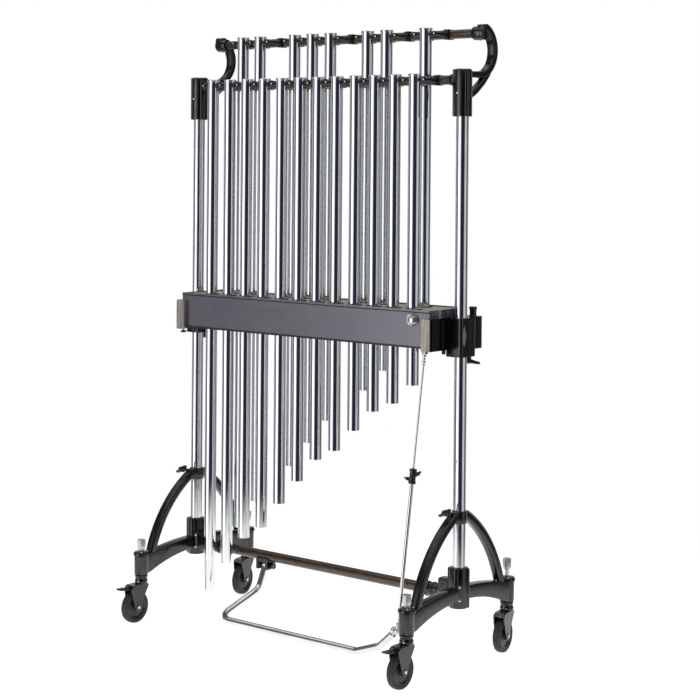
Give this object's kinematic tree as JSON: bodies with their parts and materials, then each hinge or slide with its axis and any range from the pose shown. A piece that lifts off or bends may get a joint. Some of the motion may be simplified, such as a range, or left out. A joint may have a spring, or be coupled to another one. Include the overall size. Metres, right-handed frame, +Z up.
{
  "type": "tubular bells",
  "caption": "Two rows of chromed bell tubes hung on a wheeled stand, with a damper box around them and a foot pedal that opens the dampers.",
  "frame": {"origin": "middle of the floor area that the whole stands on, at floor height", "axes": "+X to the player's right along the rows, +Y away from the player towards the rear row, +Z up"},
  "size_m": [1.152, 0.6339, 1.929],
  "materials": {
    "chrome_tube": "polished chrome plate over brass",
    "chrome_bar": "polished chrome plate over steel",
    "casting": "satin black-brown paint on a casting",
    "bronze_tube": "satin dark bronze",
    "box_paint": "satin slate grey paint",
    "tray_plate": "satin plate",
    "black_plastic": "moulded black plastic",
    "cord_nylon": "braided nylon",
    "felt": "pressed felt on an aluminium bar",
    "bright_steel": "bright zinc plate",
    "rubber_wheel": "dark rubber"
  },
  "bodies": {
    "stand": {"base_beam_left": "casting", "base_beam_right": "casting", "brace_left": "casting", "brace_right": "casting", "cross_tube": "bronze_tube", "cross_brackets": "casting", "stem_caps": "bright_steel", "collar_knobs": "black_plastic", "pedal_hinge": "casting"},
    "frame": {"post_left": "chrome_bar", "post_right": "chrome_bar", "head_left": "casting", "head_right": "casting", "front_rail": "bronze_tube", "rear_rail": "bronze_tube", "tube_pegs": "black_plastic", "hanging_cords": "cord_nylon", "damper_box": "box_paint", "damper_tray": "tray_plate", "damper_bracket_left": "casting", "damper_bracket_right": "casting", "box_bolts": "bright_steel"},
    "front_damper": {"front_damper_bar": "felt"},
    "rear_damper": {"rear_damper_bar": "felt"},
    "crank": {"damper_crank": "bright_steel"},
    "pedal": {"pedal": "chrome_bar"},
    "rod_pin": {"pedal_clamp": "bright_steel"},
    "lower_rod": {"lower_rod": "chrome_bar", "rod_lock": "black_plastic"},
    "upper_rod": {"upper_rod": "chrome_bar"},
    "caster_front_left": {"caster_fork_front_left": "casting"},
    "wheel_front_left": {"caster_wheel_front_left": "rubber_wheel"},
    "caster_front_right": {"caster_fork_front_right": "casting"},
    "wheel_front_right": {"caster_wheel_front_right": "rubber_wheel"},
    "caster_rear_left": {"caster_fork_rear_left": "casting"},
    "wheel_rear_left": {"caster_wheel_rear_left": "rubber_wheel"},
    "caster_rear_right": {"caster_fork_rear_right": "casting"},
    "wheel_rear_right": {"caster_wheel_rear_right": "rubber_wheel"},
    "brake_left": {"brake_lever_left": "black_plastic"},
    "brake_right": {"brake_lever_right": "black_plastic"},
    "tube_c5": {"tube_c5": "chrome_tube"},
    "tube_d5": {"tube_d5": "chrome_tube"},
    "tube_e5": {"tube_e5": "chrome_tube"},
    "tube_f5": {"tube_f5": "chrome_tube"},
    "tube_g5": {"tube_g5": "chrome_tube"},
    "tube_a5": {"tube_a5": "chrome_tube"},
    "tube_b5": {"tube_b5": "chrome_tube"},
    "tube_c6": {"tube_c6": "chrome_tube"},
    "tube_d6": {"tube_d6": "chrome_tube"},
    "tube_e6": {"tube_e6": "chrome_tube"},
    "tube_f6": {"tube_f6": "chrome_tube"},
    "tube_g6": {"tube_g6": "chrome_tube"},
    "tube_c_sharp5": {"tube_c_sharp5": "chrome_tube"},
    "tube_d_sharp5": {"tube_d_sharp5": "chrome_tube"},
    "tube_f_sharp5": {"tube_f_sharp5": "chrome_tube"},
    "tube_g_sharp5": {"tube_g_sharp5": "chrome_tube"},
    "tube_a_sharp5": {"tube_a_sharp5": "chrome_tube"},
    "tube_c_sharp6": {"tube_c_sharp6": "chrome_tube"},
    "tube_d_sharp6": {"tube_d_sharp6": "chrome_tube"},
    "tube_f_sharp6": {"tube_f_sharp6": "chrome_tube"}
  },
  "joints": [
    {"name": "height_slide", "type": "slide", "parent": "stand", "child": "frame", "axis": [0, 0, 1], "range_m": [0, 0.1]},
    {"name": "pedal_press", "type": "hinge", "parent": "stand", "child": "pedal", "pos_m": [-0.229, 0.0335, 0.188], "axis": [1, 0, 0], "range_deg": [0, 6], "stiffness_Nm_per_rad": 60, "springref_deg": -20.05},
    {"name": "rod_pin_turn", "type": "hinge", "parent": "pedal", "child": "rod_pin", "pos_m": [0.488, -0.1862, 0.142], "axis": [1, 0, 0], "range_deg": [-6.5, 0.5]},
    {"name": "rod_lean", "type": "hinge", "parent": "rod_pin", "child": "lower_rod", "pos_m": [0.488, -0.1862, 0.142], "axis": [1, 0, 0], "range_deg": [-0.1, 1.1]},
    {"name": "rod_length", "type": "slide", "parent": "lower_rod", "child": "upper_rod", "axis": [0, 0.1487, 0.9889], "range_m": [-0.001, 0.101]},
    {"name": "crank_turn", "type": "hinge", "parent": "frame", "child": "crank", "pos_m": [0.488, 0.0129, 0.9724], "axis": [1, 0, 0], "range_deg": [-1, 19.12]},
    {"name": "front_damper_slide", "type": "slide", "parent": "frame", "child": "front_damper", "axis": [0, -1, 0], "range_m": [-0.0001, 0.0061]},
    {"name": "rear_damper_slide", "type": "slide", "parent": "frame", "child": "rear_damper", "axis": [0, 1, 0], "range_m": [-0.0001, 0.0061]},
    {"name": "swivel_front_left", "type": "hinge", "parent": "stand", "child": "caster_front_left", "pos_m": [-0.5465, -0.2195, 0.15], "axis": [0, 0, 1], "continuous": true},
    {"name": "roll_front_left", "type": "hinge", "parent": "caster_front_left", "child": "wheel_front_left", "pos_m": [-0.5465, -0.2475, 0.052], "axis": [1, 0, 0], "continuous": true},
    {"name": "swivel_front_right", "type": "hinge", "parent": "stand", "child": "caster_front_right", "pos_m": [0.5465, -0.2195, 0.15], "axis": [0, 0, 1], "range_deg": [-90, 205]},
    {"name": "roll_front_right", "type": "hinge", "parent": "caster_front_right", "child": "wheel_front_right", "pos_m": [0.5465, -0.2475, 0.052], "axis": [1, 0, 0], "continuous": true},
    {"name": "swivel_rear_left", "type": "hinge", "parent": "stand", "child": "caster_rear_left", "pos_m": [-0.5465, 0.2865, 0.15], "axis": [0, 0, 1], "continuous": true},
    {"name": "roll_rear_left", "type": "hinge", "parent": "caster_rear_left", "child": "wheel_rear_left", "pos_m": [-0.54164, 0.25893, 0.052], "axis": [0.9848, 0.1736, 0], "continuous": true},
    {"name": "swivel_rear_right", "type": "hinge", "parent": "stand", "child": "caster_rear_right", "pos_m": [0.5465, 0.2865, 0.15], "axis": [0, 0, 1], "continuous": true},
    {"name": "roll_rear_right", "type": "hinge", "parent": "caster_rear_right", "child": "wheel_rear_right", "pos_m": [0.55136, 0.25893, 0.052], "axis": [0.9848, 0.1736, 0], "continuous": true},
    {"name": "brake_left_press", "type": "hinge", "parent": "caster_front_left", "child": "brake_left", "pos_m": [-0.5465, -0.2715, 0.112], "axis": [1, 0, 0], "range_deg": [0, 8]},
    {"name": "brake_right_press", "type": "hinge", "parent": "caster_front_right", "child": "brake_right", "pos_m": [0.5465, -0.2715, 0.112], "axis": [1, 0, 0], "range_deg": [0, 8]},
    {"name": "swing_c5", "type": "hinge", "parent": "frame", "child": "tube_c5", "pos_m": [-0.418, -0.033, 1.74], "axis": [1, 0, 0], "range_deg": [0, 0.45]},
    {"name": "swing_d5", "type": "hinge", "parent": "frame", "child": "tube_d5", "pos_m": [-0.342, -0.033, 1.74], "axis": [1, 0, 0], "range_deg": [0, 0.45]},
    {"name": "swing_e5", "type": "hinge", "parent": "frame", "child": "tube_e5", "pos_m": [-0.266, -0.033, 1.74], "axis": [1, 0, 0], "range_deg": [0, 0.45]},
    {"name": "swing_f5", "type": "hinge", "parent": "frame", "child": "tube_f5", "pos_m": [-0.19, -0.033, 1.74], "axis": [1, 0, 0], "range_deg": [0, 0.45]},
    {"name": "swing_g5", "type": "hinge", "parent": "frame", "child": "tube_g5", "pos_m": [-0.114, -0.033, 1.74], "axis": [1, 0, 0], "range_deg": [0, 0.45]},
    {"name": "swing_a5", "type": "hinge", "parent": "frame", "child": "tube_a5", "pos_m": [-0.038, -0.033, 1.74], "axis": [1, 0, 0], "range_deg": [0, 0.45]},
    {"name": "swing_b5", "type": "hinge", "parent": "frame", "child": "tube_b5", "pos_m": [0.038, -0.033, 1.74], "axis": [1, 0, 0], "range_deg": [0, 0.45]},
    {"name": "swing_c6", "type": "hinge", "parent": "frame", "child": "tube_c6", "pos_m": [0.114, -0.033, 1.74], "axis": [1, 0, 0], "range_deg": [0, 0.45]},
    {"name": "swing_d6", "type": "hinge", "parent": "frame", "child": "tube_d6", "pos_m": [0.19, -0.033, 1.74], "axis": [1, 0, 0], "range_deg": [0, 0.45]},
    {"name": "swing_e6", "type": "hinge", "parent": "frame", "child": "tube_e6", "pos_m": [0.266, -0.033, 1.74], "axis": [1, 0, 0], "range_deg": [0, 0.45]},
    {"name": "swing_f6", "type": "hinge", "parent": "frame", "child": "tube_f6", "pos_m": [0.342, -0.033, 1.74], "axis": [1, 0, 0], "range_deg": [0, 0.45]},
    {"name": "swing_g6", "type": "hinge", "parent": "frame", "child": "tube_g6", "pos_m": [0.418, -0.033, 1.74], "axis": [1, 0, 0], "range_deg": [0, 0.45]},
    {"name": "swing_c_sharp5", "type": "hinge", "parent": "frame", "child": "tube_c_sharp5", "pos_m": [-0.38, 0.069, 1.885], "axis": [1, 0, 0], "range_deg": [-0.35, 0]},
    {"name": "swing_d_sharp5", "type": "hinge", "parent": "frame", "child": "tube_d_sharp5", "pos_m": [-0.304, 0.069, 1.885], "axis": [1, 0, 0], "range_deg": [-0.35, 0]},
    {"name": "swing_f_sharp5", "type": "hinge", "parent": "frame", "child": "tube_f_sharp5", "pos_m": [-0.152, 0.069, 1.885], "axis": [1, 0, 0], "range_deg": [-0.35, 0]},
    {"name": "swing_g_sharp5", "type": "hinge", "parent": "frame", "child": "tube_g_sharp5", "pos_m": [-0.076, 0.069, 1.885], "axis": [1, 0, 0], "range_deg": [-0.35, 0]},
    {"name": "swing_a_sharp5", "type": "hinge", "parent": "frame", "child": "tube_a_sharp5", "pos_m": [0, 0.069, 1.885], "axis": [1, 0, 0], "range_deg": [-0.35, 0]},
    {"name": "swing_c_sharp6", "type": "hinge", "parent": "frame", "child": "tube_c_sharp6", "pos_m": [0.152, 0.069, 1.885], "axis": [1, 0, 0], "range_deg": [-0.35, 0]},
    {"name": "swing_d_sharp6", "type": "hinge", "parent": "frame", "child": "tube_d_sharp6", "pos_m": [0.228, 0.069, 1.885], "axis": [1, 0, 0], "range_deg": [-0.35, 0]},
    {"name": "swing_f_sharp6", "type": "hinge", "parent": "frame", "child": "tube_f_sharp6", "pos_m": [0.38, 0.069, 1.885], "axis": [1, 0, 0], "range_deg": [-0.35, 0]}
  ],
  "couplings": [
    {"joint": "rod_pin_turn", "follows": "pedal_press", "ratio": -1},
    {"joint": "rod_lean", "follows": "height_slide", "rad_per_m": 0.15916},
    {"joint": "rod_length", "follows": "height_slide", "ratio": 0.99007},
    {"joint": "crank_turn", "follows": "pedal_press", "ratio": 3.0195},
    {"joint": "front_damper_slide", "follows": "pedal_press", "m_per_rad": 0.0573},
    {"joint": "rear_damper_slide", "follows": "pedal_press", "m_per_rad": 0.0573}
  ]
}
